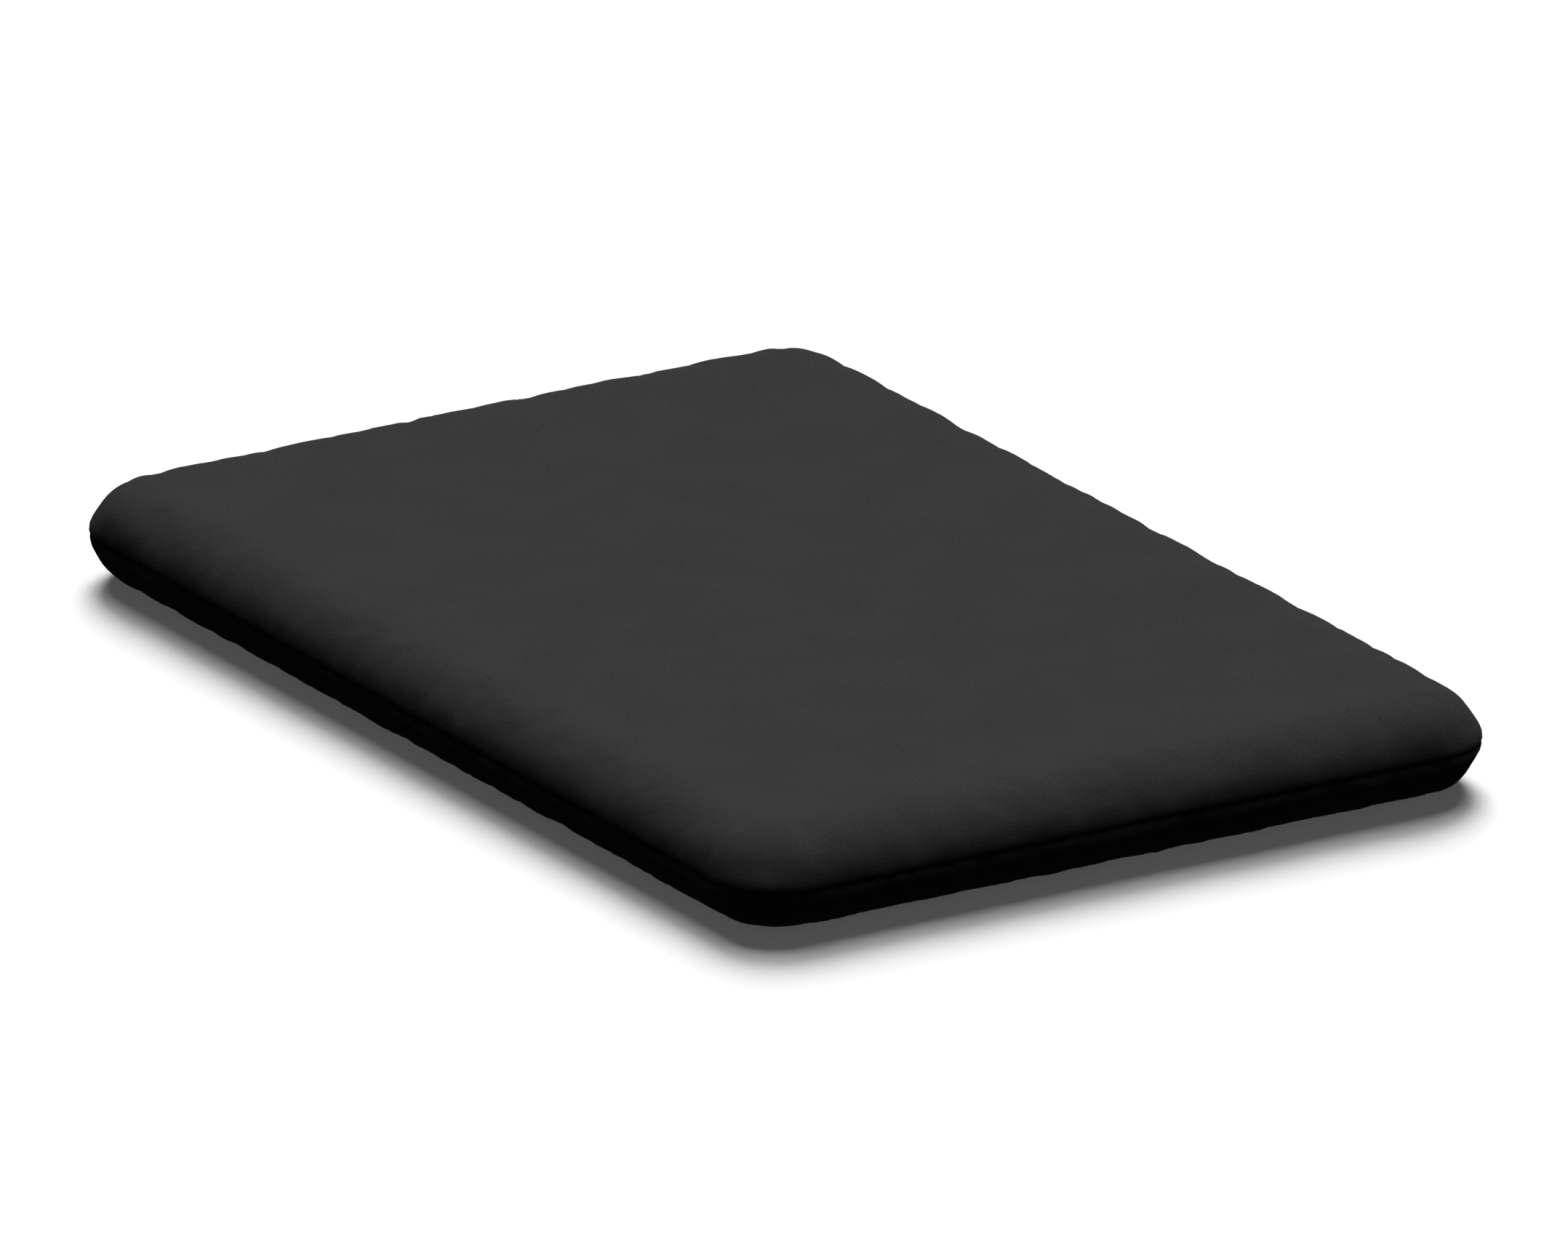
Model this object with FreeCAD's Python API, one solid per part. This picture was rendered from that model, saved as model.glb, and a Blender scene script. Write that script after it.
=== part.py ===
import FreeCAD, Part
import math
import os

from FreeCAD import Vector

# A futon mattress in a removable two-panel cover, lying flat.
# Millimetres. X runs along the long sides, Y from the front edge to the rear, Z up.
# The origin is on the underside, in the middle of the outline of the seam.
# The mattress folds along one line parallel to X, so everything soft is cut there:
# the seat half is in front of the line and the back half behind it.

# Outline of the closed cover
length = 2032.0
width = 1356.0
thickness = 156.0
seam_height = 74.0
top_roll = 100.0
top_corner = 20.0
bottom_roll = 60.0

# Fold
seat_depth = 560.0
fold_gap = 0.6

# Cloths and the room between them
cover_cloth = 1.4
seam_gap = 0.2
side_slack = 2.3
flat_room = 0.4
casing_cloth = 1.0
casing_panel_turn = 28.0

# Filling, as loose layers; the cotton core takes the height that is left
layer_gap = 0.2
felt = 16.0
foam = 25.0

# Tufting: twine drawn through everything inside, knotted on felt pads in small dimples
tuft_columns = 6
seat_tuft_rows = 2
back_tuft_rows = 3
dimple_radius = 36.0
dimple_depth = 10.0
pad_radius = 11.0
pad_thickness = 3.0
twine_radius = 1.0
needle_clearance = 0.4
knot_radius = 2.5

# Zip, set into the seam along the rear side
zip_end_room = 56.0
tape_width = 16.0
tape_cloth = 0.8
tape_gap = 0.2
coil_height = 2.6
coil_depth = 2.4
coil_split = 1.2
stop_length = 3.0
stop_over = 0.4

# Zip slider and its pull
slider_length = 11.0
slider_plate = 1.2
slider_flange = 0.8
slider_clearance = 0.5
slot_clearance = 1.0
neck_length = 5.0
neck_wall = 0.6
bridge_length = 7.0
bridge_wall = 0.9
bridge_width = 2.2
pull_length = 26.0
pull_width = 7.0
pull_wall = 1.2
pull_arm = 1.6
pull_bar_radius = 0.7

# Blank care label, laid against the casing behind the zip
label_width = 60.0
label_height = 36.0
label_cloth = 0.3

# Worked out from the sizes above
corner_radius = top_roll + top_corner
fold_y = seat_depth - width / 2
coil_low = coil_split / 2
stop_high = coil_low + coil_height
flange_low = stop_high + slider_clearance
slider_half = flange_low + slider_flange
slot_half = slider_half + slot_clearance
slider_room = tape_gap + tape_cloth + slider_clearance + slider_plate
casing_inset = cover_cloth + slider_room + side_slack
casing_drop = cover_cloth + flat_room
filling_inset = casing_inset + casing_cloth + layer_gap
filling_drop = casing_drop + casing_cloth + layer_gap
reach = length + width


def slab(x_range, y_range, z_range):
    """A rectangular block between two planes each way."""
    size = [high - low for low, high in (x_range, y_range, z_range)]
    return Part.makeBox(*size, Vector(x_range[0], y_range[0], z_range[0]))


def band(low, high):
    """Everything between two heights."""
    return slab((-reach, reach), (-reach, reach), (low, high))


def quarter(start, corner, end):
    """A quarter of an ellipse from start to end, tangent to the lines to the corner."""
    curve = Part.BezierCurve()
    curve.setPoles([start, corner, end])
    curve.setWeight(2, math.sqrt(0.5))
    return curve.toShape()


def edge_profile(inset, drop):
    """Half section of the rolled edge, from a corner's axis out to the seam."""
    radius = corner_radius - inset
    high = thickness - drop
    top_end = corner_radius - top_roll
    low_end = corner_radius - bottom_roll
    seam = Vector(radius, 0, seam_height)
    low = Vector(low_end, 0, drop)
    top = Vector(top_end, 0, high)
    edges = [
        Part.makeLine(Vector(0, 0, drop), low),
        quarter(low, Vector(radius, 0, drop), seam),
        quarter(seam, Vector(radius, 0, high), top),
        Part.makeLine(top, Vector(0, 0, high)),
        Part.makeLine(Vector(0, 0, high), Vector(0, 0, drop)),
    ]
    return Part.Face(Part.Wire(edges))


def cushion(inset, drop):
    """The stuffed shape, with its sides moved in by inset and its flats by drop."""
    core_x = length / 2 - corner_radius
    core_y = width / 2 - corner_radius
    pieces = [slab((-core_x, core_x), (-core_y, core_y), (drop, thickness - drop))]
    corners = [(core_x, -core_y), (core_x, core_y), (-core_x, core_y), (-core_x, -core_y)]
    runs = [2 * core_y, 2 * core_x, 2 * core_y, 2 * core_x]
    for turn, (corner, run) in enumerate(zip(corners, runs)):
        profile = edge_profile(inset, drop)
        profile.rotate(Vector(0, 0, 0), Vector(0, 0, 1), 90 * turn)
        profile.translate(Vector(corner[0], corner[1], 0))
        angle = math.radians(90 * turn + 90)
        pieces.append(profile.extrude(Vector(math.cos(angle), math.sin(angle), 0) * run))
        pieces.append(profile.revolve(Vector(corner[0], corner[1], 0), Vector(0, 0, 1), -90))
    return pieces[0].multiFuse(pieces[1:]).removeSplitter()


def shell(inset, drop, cloth):
    """Cloth of even thickness round the stuffed shape."""
    return cushion(inset, drop).cut(cushion(inset + cloth, drop + cloth))


def spread(low, high, count):
    """Places spaced evenly between two limits, with half a space at each end."""
    pitch = (high - low) / count
    return [low + pitch * (index + 0.5) for index in range(count)]


tuft_xs = spread(-length / 2, length / 2, tuft_columns)
tuft_ys = {
    "seat": spread(-width / 2, fold_y, seat_tuft_rows),
    "back": spread(fold_y, width / 2, back_tuft_rows),
}
tufts = [(x, y) for half in ("seat", "back") for y in tuft_ys[half] for x in tuft_xs]
bowl = (dimple_radius ** 2 + dimple_depth ** 2) / (2 * dimple_depth)
pad_lift = bowl - math.sqrt(bowl ** 2 - pad_radius ** 2) + layer_gap
pad_bottom = casing_drop + dimple_depth - pad_lift - pad_thickness
pad_top = thickness - pad_bottom


def at_tufts(shape, places):
    """A copy of the shape at each tuft."""
    return Part.makeCompound([shape.translated(Vector(x, y, 0)) for x, y in places])


def dimples(grow):
    """The round hollows that the twine pulls into both faces."""
    over = thickness - casing_drop - dimple_depth + bowl
    under = casing_drop + dimple_depth - bowl
    pair = [Part.makeSphere(bowl + grow, Vector(0, 0, z)) for z in (over, under)]
    return at_tufts(Part.makeCompound(pair), tufts)


def rod(radius, low, high):
    """An upright round bar on the Z axis."""
    return Part.makeCylinder(radius, high - low, Vector(0, 0, low))


halves = {
    "seat": slab((-reach, reach), (-reach, fold_y - fold_gap / 2), (-reach, reach)),
    "back": slab((-reach, reach), (fold_y + fold_gap / 2, reach), (-reach, reach)),
}
needle_holes = at_tufts(rod(twine_radius + needle_clearance, 0, thickness), tufts)

# Cover: two panels that meet at the seam, open along the rear for the zip
zip_end = length / 2 - corner_radius - zip_end_room
slot = slab((-zip_end, zip_end), (0, reach), (seam_height - slot_half, seam_height + slot_half))
cover = shell(0, 0, cover_cloth).cut(slot)
layers = {
    "cover_top_panel": cover.common(band(seam_height + seam_gap / 2, reach)),
    "cover_bottom_panel": cover.common(band(-reach, seam_height - seam_gap / 2)),
}

# Inner casing: a boxing strip round the sides, and a panel above and below it
boxing_top = thickness - casing_drop - casing_panel_turn
boxing_bottom = casing_drop + casing_panel_turn
casing = cushion(casing_inset, casing_drop).cut(dimples(0))
casing_inside = cushion(casing_inset + casing_cloth, casing_drop + casing_cloth)
casing = casing.cut(casing_inside.cut(dimples(casing_cloth)))
casing = casing.cut(needle_holes)
layers["casing_top_panel"] = casing.common(band(boxing_top + seam_gap / 2, reach))
boxing = band(boxing_bottom + seam_gap / 2, boxing_top - seam_gap / 2)
layers["casing_boxing"] = casing.common(boxing)
layers["casing_bottom_panel"] = casing.common(band(-reach, boxing_bottom - seam_gap / 2))

# Filling: cotton felt, foam, a cotton core, foam and cotton felt
filling = cushion(filling_inset, filling_drop).cut(dimples(casing_cloth + layer_gap))
filling = filling.cut(needle_holes)
outer_layers = [("outer_felt", felt), ("inner_felt", felt), ("foam", foam)]
below = filling_drop
above = thickness - filling_drop
for name, height in outer_layers:
    layers["bottom_" + name] = filling.common(band(below, below + height))
    layers["top_" + name] = filling.common(band(above - height, above))
    below += height + layer_gap
    above -= height + layer_gap
layers["cotton_core"] = filling.common(band(below, above))

nodes = {}
for name, shape in layers.items():
    for half, side in halves.items():
        nodes[name + "_" + half] = shape.common(side)

# Tufts: a felt pad on each side of the casing, and one twine with a knot at each end
pad_hole = rod(twine_radius + needle_clearance, 0, thickness)
top_pad = rod(pad_radius, pad_top - pad_thickness, pad_top).cut(pad_hole)
bottom_pad = rod(pad_radius, pad_bottom, pad_bottom + pad_thickness).cut(pad_hole)
twine = rod(twine_radius, pad_bottom - knot_radius, pad_top + knot_radius)
for knot in (pad_top + knot_radius, pad_bottom - knot_radius):
    twine = twine.fuse(Part.makeSphere(knot_radius, Vector(0, 0, knot)))
for half, ys in tuft_ys.items():
    places = [(x, y) for y in ys for x in tuft_xs]
    nodes["tuft_pads_top_" + half] = at_tufts(top_pad, places)
    nodes["tuft_pads_bottom_" + half] = at_tufts(bottom_pad, places)
    nodes["tuft_twines_" + half] = at_tufts(twine, places)

# Zip tapes behind the two edges of the slot, and a coil sewn along each tape
tape_inset = cover_cloth + tape_gap
tape_face = width / 2 - tape_inset
tape = shell(tape_inset, tape_inset, tape_cloth)
coil_end = zip_end - stop_length
coil_front = tape_face + coil_depth


def beside_seam(x_range, y_range, low, high, side):
    """A block that starts and ends at two distances above (+1) or below (-1) the seam."""
    z_range = sorted((seam_height + side * low, seam_height + side * high))
    return slab(x_range, y_range, z_range)


for name, side in (("upper", 1), ("lower", -1)):
    strip = beside_seam((-zip_end, zip_end), (0, reach), coil_low, coil_low + tape_width, side)
    nodes["zip_tape_" + name] = tape.common(strip)
    nodes["zip_coil_" + name] = beside_seam(
        (-coil_end, coil_end), (tape_face, coil_front), coil_low, coil_low + coil_height, side)

# Stops: one on each coil at the closed end, and one across both at the other end
stop_y = (tape_face, coil_front + stop_over)
stops = [beside_seam((coil_end, zip_end), stop_y, coil_low, stop_high, side) for side in (1, -1)]
stops.append(slab((-zip_end, -coil_end), stop_y, (seam_height - stop_high, seam_height + stop_high)))
nodes["zip_stops"] = Part.makeCompound(stops)

# Slider: an outer and an inner plate, side flanges round the coils, and a thin neck
slider_x = coil_end - slider_clearance - slider_length / 2
slider_ends = (slider_x - slider_length / 2, slider_x + slider_length / 2)
plate_in = coil_front + slider_clearance
plate_out = plate_in + slider_plate
inner_out = tape_face - tape_cloth - slider_clearance
inner_in = inner_out - slider_plate
slider_z = (seam_height - slider_half, seam_height + slider_half)
slider = slab(slider_ends, (plate_in, plate_out), slider_z)
slider = slider.fuse(slab(slider_ends, (inner_in, inner_out), slider_z))
for side in (1, -1):
    flange_y = (tape_face + slider_clearance, plate_in)
    slider = slider.fuse(beside_seam(slider_ends, flange_y, flange_low, slider_half, side))
neck = slab((slider_ends[1] - neck_length, slider_ends[1]), (inner_out, plate_in),
            (seam_height - neck_wall / 2, seam_height + neck_wall / 2))
slider = slider.fuse(neck)

# Bridge on the outer plate, with the pull's bar running under it
pivot_y = plate_out + slider_clearance + pull_bar_radius
bridge_high = pivot_y + pull_bar_radius + slider_clearance
bridge_x = (slider_x - bridge_length / 2, slider_x + bridge_length / 2)
bridge_z = (seam_height - bridge_width / 2, seam_height + bridge_width / 2)
bridge = slab(bridge_x, (plate_out, bridge_high + bridge_wall), bridge_z)
bridge = bridge.cut(slab((bridge_x[0] + bridge_wall, bridge_x[1] - bridge_wall),
                         (plate_out, bridge_high), bridge_z))
nodes["zip_slider"] = slider.fuse(bridge).removeSplitter()

# Pull: a flat tab lying back over the closed zip, with a window that clears the bridge
pull_half = pull_width / 2
window_x = (slider_x - bridge_length / 2 - 2 * pull_bar_radius, slider_x + pull_bar_radius)
pull_y = (pivot_y - pull_wall / 2, pivot_y + pull_wall / 2)
pull_z = (seam_height - pull_half, seam_height + pull_half)
window_z = (pull_z[0] + pull_arm, pull_z[1] - pull_arm)
pull = slab((slider_x - pull_length, slider_x), pull_y, pull_z)
pull = pull.cut(slab(window_x, pull_y, window_z))
bar = Part.makeCylinder(pull_bar_radius, pull_width, Vector(slider_x, pivot_y, pull_z[0]))
nodes["zip_pull"] = pull.fuse(bar)

# Care label, lying on the curve of the casing's rear side
label_out = layer_gap + label_cloth
label_x = (-zip_end / 2 - label_width / 2, -zip_end / 2 + label_width / 2)
label_z = (seam_height - label_height / 2, seam_height + label_height / 2)
label = shell(casing_inset - label_out, casing_drop - label_out, label_cloth)
nodes["care_label"] = label.common(slab(label_x, (0, reach), label_z))

os.makedirs("parts", exist_ok=True)
for name, shape in nodes.items():
    shape.exportStep("parts/" + name + ".step")
    print(name, len(shape.Solids), "solids", round(shape.Volume / 1e6, 4), "litres", shape.isValid())
print("slider travel", round(2 * coil_end - slider_length - 2 * slider_clearance, 2))
print("fold axis y", fold_y, "z", thickness, "pull pivot", slider_x, round(pivot_y, 3), seam_height)
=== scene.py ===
# %% [markdown]
# # A futon mattress in its cover
# A futon mattress is a stack of felt, foam and cotton, stitched into a plain inner casing and
# slipped into a zipped canvas cover. The measured design of it is already made: it says where
# every piece is, where the mattress folds, and how the zip runs. This lesson dresses that design
# as cloth, felt, foam and nylon. Everything is in metres, with Z up, X along the long sides and
# Y from the front edge to the rear, where the zip is.

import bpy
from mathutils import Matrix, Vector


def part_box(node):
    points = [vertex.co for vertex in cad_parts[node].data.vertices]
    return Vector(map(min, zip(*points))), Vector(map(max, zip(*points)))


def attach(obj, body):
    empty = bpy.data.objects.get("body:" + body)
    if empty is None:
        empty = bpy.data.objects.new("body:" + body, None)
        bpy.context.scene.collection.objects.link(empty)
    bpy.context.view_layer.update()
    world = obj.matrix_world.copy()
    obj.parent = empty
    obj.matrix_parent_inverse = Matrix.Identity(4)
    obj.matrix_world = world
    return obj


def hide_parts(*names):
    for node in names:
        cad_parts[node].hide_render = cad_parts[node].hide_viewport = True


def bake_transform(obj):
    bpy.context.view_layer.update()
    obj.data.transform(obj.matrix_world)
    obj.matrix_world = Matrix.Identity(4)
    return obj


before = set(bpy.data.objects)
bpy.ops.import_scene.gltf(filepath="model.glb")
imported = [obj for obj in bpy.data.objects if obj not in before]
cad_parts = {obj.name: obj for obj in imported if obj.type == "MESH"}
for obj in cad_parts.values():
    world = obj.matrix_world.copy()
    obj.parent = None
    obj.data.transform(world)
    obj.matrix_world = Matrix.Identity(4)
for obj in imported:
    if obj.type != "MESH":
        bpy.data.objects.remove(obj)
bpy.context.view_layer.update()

import math

import bmesh
import bpy
import numpy
from mathutils import Matrix, Vector, noise
from mathutils.bvhtree import BVHTree
from mathutils.kdtree import KDTree

# %% [markdown]
# ## Sizes
# The cover is two panels of canvas that meet at a seam round the side. Its outline, its height
# and the height of the seam are read from the design, so they are never typed twice. Only the
# shape of the rolled edge is given here: how far each panel rolls in, and how tight the corner
# of the flat top is.

# %% Sizes of the covered mattress
MM = 0.001
TOP_ROLL = 100 * MM
BOTTOM_ROLL = 60 * MM
CORNER = 120 * MM

upper_low, upper_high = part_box("cover_top_panel_seat")
lower_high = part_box("cover_bottom_panel_seat")[1]
half_length = upper_high.x
half_width = -upper_low.y
top_z = upper_high.z
seam_z = (upper_low.z + lower_high.z) / 2
core_x = half_length - CORNER
core_y = half_width - CORNER

# %% [markdown]
# ## Shader arithmetic
# A procedural finish is mostly sums: stripes times masks plus noise. Written as nodes one by one
# they are unreadable, so this small class wraps a socket and lets Python's operators add the
# Math nodes. Every other node comes from its one method, `node`, which sets the node's settings
# first and then fills its sockets with numbers or links.

# %% A socket that does arithmetic
class Wire:
    """An output socket of a material's node tree, or the tree itself before there is one."""

    def __init__(self, tree, socket=None):
        self.tree = tree
        self.socket = socket

    def node(self, kind, sockets=(), output=0, **settings):
        made = self.tree.nodes.new(kind)
        for name, value in settings.items():
            setattr(made, name, value)
        for name, value in dict(sockets).items():
            if isinstance(value, Wire):
                self.tree.links.new(value.socket, made.inputs[name])
            else:
                made.inputs[name].default_value = value
        return Wire(self.tree, made.outputs[output])

    def math(self, operation, *values):
        return self.node("ShaderNodeMath", dict(enumerate(values)), operation=operation)

    def __add__(self, other):
        return self.math("ADD", self, other)

    def __sub__(self, other):
        return self.math("SUBTRACT", self, other)

    def __rsub__(self, other):
        return self.math("SUBTRACT", other, self)

    def __mul__(self, other):
        return self.math("MULTIPLY", self, other)

    def __truediv__(self, other):
        return self.math("DIVIDE", self, other)

    __radd__ = __add__
    __rmul__ = __mul__

    def floor(self):
        return self.math("FLOOR", self)

    def modulo(self, other):
        return self.math("FLOORED_MODULO", self, other)

    def pingpong(self, span):
        return self.math("PINGPONG", self, span)

    def above(self, limit):
        return self.math("GREATER_THAN", self, limit)

    def below(self, limit):
        return self.math("LESS_THAN", self, limit)

    def wave(self):
        """A smooth ripple from 0 to 1, one for each whole number."""
        return self.math("SINE", self * math.tau) * 0.5 + 0.5

    def mix(self, low, high):
        """A colour between two colours, where this wire is the share of the second."""
        return self.node("ShaderNodeMix", {0: self, 6: low, 7: high}, output=2, data_type="RGBA")


def finish(name, build, rough=0.9, coat=0.0):
    """A material: build(wire) gives the shader sockets that change over the surface."""
    material = bpy.data.materials.new(name)
    material.use_nodes = True
    shader = material.node_tree.nodes["Principled BSDF"]
    shader.inputs["Roughness"].default_value = rough
    shader.inputs["Coat Weight"].default_value = coat
    for socket, wire in build(Wire(material.node_tree)).items():
        material.node_tree.links.new(wire.socket, shader.inputs[socket])
    return material


def bump(wire, height, depth):
    """A Bump node: height is a wire from 0 to 1, and depth what 1 stands for, in metres."""
    return wire.node("ShaderNodeBump", {"Height": height, "Distance": depth, "Strength": 1.0})


def cloth_axes(wire):
    """The cloth's own flat coordinates, in metres: both together, and each alone."""
    uv = wire.node("ShaderNodeUVMap", uv_map="cloth")
    u = wire.node("ShaderNodeSeparateXYZ", {0: uv}, output=0)
    v = wire.node("ShaderNodeSeparateXYZ", {0: uv}, output=1)
    return uv, u, v


NOISE = "ShaderNodeTexNoise"
CELLS = "ShaderNodeTexVoronoi"


def through(wire, texture, **sockets):
    """A texture that runs through the whole piece, in Object coordinates, so in metres."""
    place = wire.node("ShaderNodeTexCoord", output="Object")
    return wire.node(texture, {"Vector": place, **sockets})


print("shader arithmetic ready")

# %% [markdown]
# ## Charcoal canvas
# The cover is a heavy basket-weave canvas: threads cross two over two, so small squares of
# upright and level threads alternate like a checkerboard, one kind a little lighter than the
# other. The weave follows the cloth, so it is drawn in the cloth's own flat coordinates, in
# metres, which each panel keeps as a UV map. Grain and soft clouds keep the dye from looking even.

# %% Charcoal canvas
WEAVE = 7 * MM
CANVAS_DARK = (0.017, 0.017, 0.0176, 1)
CANVAS_LIGHT = (0.0465, 0.0465, 0.0472, 1)


def stretched_noise(wire, uv, across, along, detail=2.0):
    """Noise whose grains are `across` wide and `along` long, in the cloth's own metres."""
    scaled = uv.node("ShaderNodeMapping", {"Vector": uv, "Scale": (1 / along, 1 / across, 1)})
    return wire.node(NOISE, {"Vector": scaled, "Scale": 1.0, "Detail": detail})


def basket_weave(u, v, pitch):
    """Squares of upright (1) and level (0) threads by turns, and the threads' height, 0 to 1."""
    squares_u = u / (pitch / 2)
    squares_v = v / (pitch / 2)
    upright = (squares_u.floor() + squares_v.floor()).modulo(2.0)
    return upright, upright * (squares_u * 2).wave() + (1 - upright) * (squares_v * 2).wave()


def canvas(wire):
    """Dark canvas: two tones of thread in squares, with slubs, grain, streaks and clouds."""
    uv, u, v = cloth_axes(wire)
    upright, threads = basket_weave(u, v, WEAVE)
    slubs = stretched_noise(wire, uv, 4 * MM, 9 * MM) - 0.5
    grain = stretched_noise(wire, uv, 4.5 * MM, 4.5 * MM) - 0.5
    streaks = stretched_noise(wire, uv, 11 * MM, 0.3, 3.0) - 0.5
    cloudy = stretched_noise(wire, uv, 0.15, 0.15, 3.0) - 0.5
    mottle = slubs * 0.5 + grain * 0.9 + streaks * 0.12 + cloudy * 0.5
    tone = threads * 0.4 + upright * 0.45 + mottle + 0.075
    relief = threads * 0.75 + slubs * 0.5
    return {
        "Base Color": tone.mix(CANVAS_DARK, CANVAS_LIGHT),
        "Normal": bump(wire, relief, 0.8 * MM),
    }


canvas_finish = finish("charcoal_canvas", canvas, rough=0.93)
print("canvas with squares of", WEAVE / 2, "m")

# %% [markdown]
# ## Cutting a panel
# A cover panel is cut flat, with round corners, and then wrapped over the mattress. It is made
# the same way here. An even grid is the cloth on the table. Its lines are crowded towards the
# rim, where the cloth has to bend, and its corners are pushed round. The flat position of each
# point is kept as the UV map before anything is bent, so the weave stays true to the cloth.

# %% Cut a flat panel
def crowd(share, amount=0.25):
    """Moves evenly spaced shares, from -1 to 1, closer together near both ends."""
    return share + amount * math.sin(math.pi * share) / math.pi


def round_corner(x, y, half_x, half_y, radius):
    """Moves a point of a rectangle so that the rectangle's corners become arcs."""
    a = abs(x) - half_x + radius
    b = abs(y) - half_y + radius
    if a <= 0 or b <= 0:
        return x, y
    far = max(a, b)
    turn = math.pi / 4 * min(a, b) / far
    out = (far * math.cos(turn), far * math.sin(turn))
    if b > a:
        out = out[::-1]
    return (math.copysign(half_x - radius + out[0], x),
            math.copysign(half_y - radius + out[1], y))


def keep_flat(mesh):
    """Stores each point's place on the flat cloth, in metres, as the UV map named cloth."""
    layer = mesh.loops.layers.uv.new("cloth")
    for face in mesh.faces:
        for loop in face.loops:
            loop[layer].uv = loop.vert.co.xy


def cut_panel(half_x, half_y, radius, columns, rows):
    """A flat grid of cloth with round corners, with its own place kept as the UV map."""
    mesh = bmesh.new()
    bmesh.ops.create_grid(mesh, x_segments=columns, y_segments=rows, size=1)
    for vert in mesh.verts:
        x = crowd(vert.co.x) * half_x
        y = crowd(vert.co.y) * half_y
        vert.co.x, vert.co.y = round_corner(x, y, half_x, half_y, radius)
    keep_flat(mesh)
    return mesh


def quarter_roll(reach, drop, steps=90):
    """Along a quarter ellipse: cloth used, distance out and distance down, as three lists."""
    angles = numpy.linspace(0, math.pi / 2, steps)
    out = reach * numpy.sin(angles)
    down = drop * (1 - numpy.cos(angles))
    used = numpy.concatenate(([0], numpy.cumsum(numpy.hypot(numpy.diff(out), numpy.diff(down)))))
    return used, out, down


def as_piece(mesh, name, material):
    """Turns a bmesh into an object at the origin, smooth and with its finish."""
    data = bpy.data.meshes.new(name)
    mesh.to_mesh(data)
    mesh.free()
    data.shade_smooth()
    data.materials.append(material)
    piece = bpy.data.objects.new(name, data)
    bpy.context.scene.collection.objects.link(piece)
    return piece


def thicken(piece, cloth):
    """Gives a cloth its thickness, inwards from its outer face."""
    solidify = piece.modifiers.new("cloth_thickness", "SOLIDIFY")
    solidify.thickness = cloth
    solidify.offset = -1


def only(kind, made):
    """The items of one kind, such as vertices, among what a bmesh operator made."""
    return [item for item in made["geom"] if isinstance(item, kind)]


top_used = quarter_roll(TOP_ROLL, top_z - seam_z)[0][-1]
bottom_used = quarter_roll(BOTTOM_ROLL, seam_z)[0][-1]
print("cloth over the top roll", round(top_used, 4), "under the bottom roll", round(bottom_used, 4))

# %% [markdown]
# ## Where the zip is
# The two panels meet at the seam all the way round, apart from the rear, where the zip keeps
# them a little apart. The change from closed to open takes a few centimetres at each end of the
# zip, as it does when a zip is sewn into a seam.

# %% The zip's share of the seam
zip_low, zip_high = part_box("zip_stops")
slider_low, slider_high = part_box("zip_slider")
SLIDER_ROOM = 1.0 * MM
slot_half = (slider_high.z - slider_low.z) / 2 + SLIDER_ROOM
SLOT_EASE = 14 * MM


def smooth_share(value):
    """A share held between 0 and 1, with a soft start and a soft end."""
    share = max(0.0, min(1.0, value))
    return share * share * (3 - 2 * share)


def zip_share(x, y):
    """1 along the zip at the rear, 0 elsewhere, with a short smooth change at each end."""
    beyond = max(x - zip_high.x, zip_low.x - x)
    return smooth_share(1 - beyond / SLOT_EASE) if y > core_y else 0.0


print("zip from", round(zip_low.x, 3), "to", round(zip_high.x, 3), "slot half", round(slot_half, 4))

# %% [markdown]
# ## Wrapping a panel
# Past the flat, the cloth runs down a quarter ellipse to the seam. Each point knows how much
# cloth lies between it and the flat, so the ellipse's own length says where it lands. Near the
# seam the cloth flares: the upper panel stands a little proud of the lower one, and along the
# zip both stand proud, because their folded edges lie on the zip's tapes. The same code makes
# the lower panel, turned over.

# %% Wrap a flat panel round the rolled edge
def from_core(x, y):
    """The vector from the nearest point of the core rectangle, which has no roll, to a point."""
    return Vector((x - max(-core_x, min(core_x, x)), y - max(-core_y, min(core_y, y))))


def wrap_panel(mesh, reach, inset, flat_z, rim_z, rim_shift=None):
    """Bends a cut panel over the edge; rim_shift(x, y, cloth to rim) gives a move out and up."""
    flat_corner = CORNER - reach
    used, out, down = quarter_roll(reach - inset, abs(flat_z - rim_z))
    down = down / down[-1]
    for vert in mesh.verts:
        away = from_core(vert.co.x, vert.co.y)
        cloth = away.length - flat_corner
        vert.co.z = flat_z
        if cloth > 0:
            direction = away.normalized()
            core = vert.co.xy - away
            place = core + direction * (flat_corner + numpy.interp(cloth, used, out))
            fall = numpy.interp(cloth, used, down)
            shift_out, shift_up = rim_shift(*place, used[-1] - cloth) if rim_shift else (0.0, 0.0)
            vert.co.xy = place + direction * shift_out
            vert.co.z = flat_z + (rim_z + shift_up - flat_z) * fall


print("wrap ready")

# %% [markdown]
# ## Filling out the cloth
# A real panel is cut a little full and eased into the seam, so the filling pushes it out and it
# gathers in small soft puckers near the stitching. Cloth simulation makes them: the seam is
# pinned, the flat lies still on the filling, the rolled edge grows by a small share and air
# pressure stands in for the filling. No point may move further than a few millimetres.

# %% Simulate the ease in the rolled edge
FREE_FROM = 0.25
RIM_FROM = 0.995
FRAMES = 20


def roll_share(x, y, reach, used):
    """How far down the roll a point of the flat cloth lies: 0 at the flat's edge, 1 at the seam."""
    return (from_core(x, y).length - CORNER + reach) / used


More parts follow.
